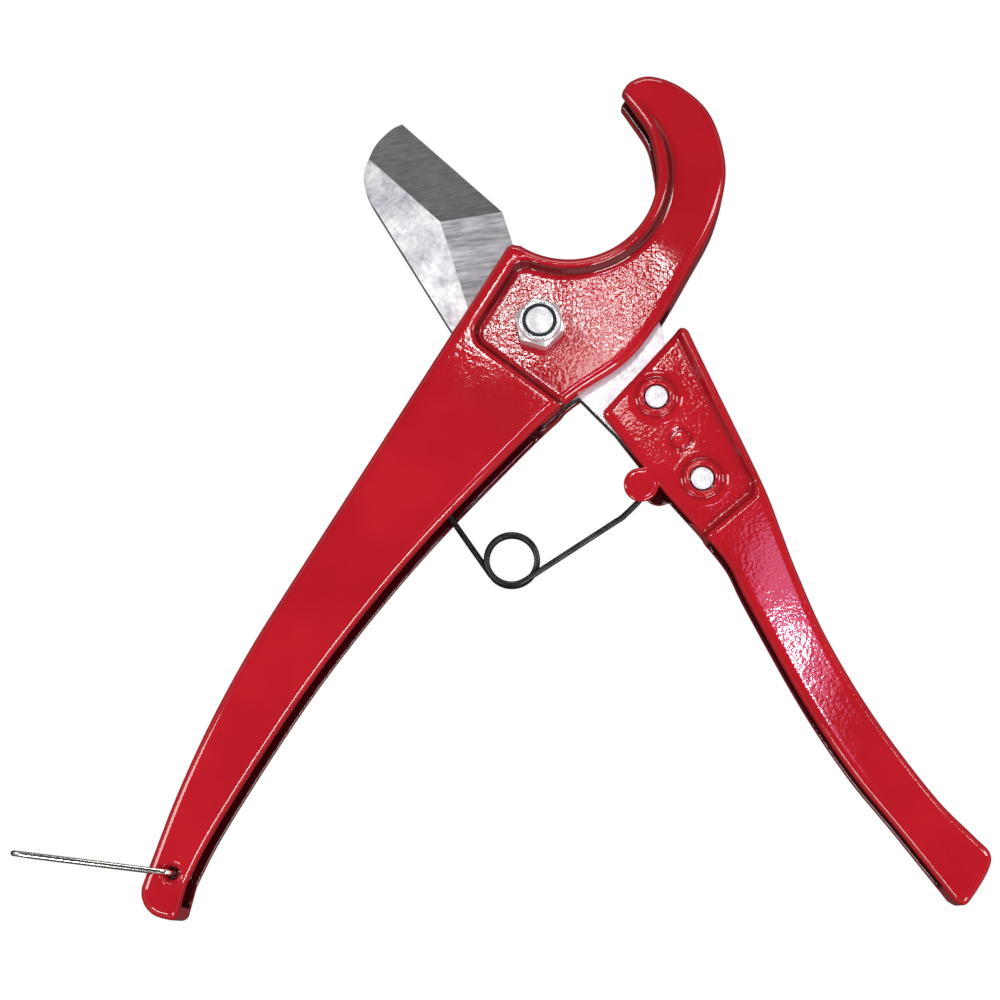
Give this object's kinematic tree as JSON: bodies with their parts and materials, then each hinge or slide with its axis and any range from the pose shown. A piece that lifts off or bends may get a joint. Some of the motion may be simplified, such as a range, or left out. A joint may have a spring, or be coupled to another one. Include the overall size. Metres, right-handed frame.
{
  "type": "pvc pipe cutter",
  "caption": "Hand-held scissor-type cutter for plastic pipe, with die-cast channel handles, a hooked jaw, a riveted ground blade, a return spring and a wire bail latch.",
  "frame": {"origin": "on the pivot's axis, at the flat underside of the pivot bolt's head, where the tool rests when it lies flat", "axes": "+Z along the pivot's axis, from the bolt's head to the lock nut; +Y from the pivot towards the open jaw; the fixed handle runs to -X -Y and the moving handle to +X -Y"},
  "size_m": [0.2065, 0.1857, 0.0249],
  "materials": {
    "red_paint": "glossy red paint over die-cast aluminium",
    "blade_steel": "ground tool steel",
    "zinc_steel": "bright zinc plating",
    "nylon": "dark nylon",
    "spring_wire": "black oiled spring wire",
    "bail_wire": "bright nickel-plated wire"
  },
  "bodies": {
    "body": {"body_casting": "red_paint", "pivot_bolt": "zinc_steel", "lock_nut": "zinc_steel", "nut_nylon_ring": "nylon", "pivot_bush": "zinc_steel", "front_thrust_washer": "zinc_steel", "back_thrust_washer": "zinc_steel"},
    "lever": {"moving_handle": "red_paint", "blade": "blade_steel", "upper_rivet": "zinc_steel", "lower_rivet": "zinc_steel"},
    "spring_coil": {"spring_coil": "spring_wire"},
    "spring_leg": {"spring_leg": "spring_wire"},
    "bail": {"bail_wire": "bail_wire"}
  },
  "joints": [
    {"name": "lever_pivot", "type": "hinge", "parent": "body", "child": "lever", "pos_m": [0, 0, 0.011], "axis": [0, 0, -1], "range_deg": [0, 65], "stiffness_Nm_per_rad": 0.3, "springref_deg": -11.46},
    {"name": "spring_eye", "type": "hinge", "parent": "lever", "child": "spring_coil", "pos_m": [0.022, -0.0363, 0.011], "axis": [0, 0, 1], "range_deg": [0, 101.5]},
    {"name": "spring_wind", "type": "hinge", "parent": "spring_coil", "child": "spring_leg", "pos_m": [-0.0063, -0.0506, 0.011], "axis": [0, 0, -1], "range_deg": [0, 104.7]},
    {"name": "bail_swing", "type": "hinge", "parent": "body", "child": "bail", "pos_m": [-0.0776, -0.1181, 0.011], "axis": [0, 0, 1], "range_deg": [-94, 205]}
  ],
  "couplings": [
    {"joint": "spring_eye", "follows": "lever_pivot", "ratio": 1.56},
    {"joint": "spring_wind", "follows": "lever_pivot", "ratio": 1.61}
  ]
}
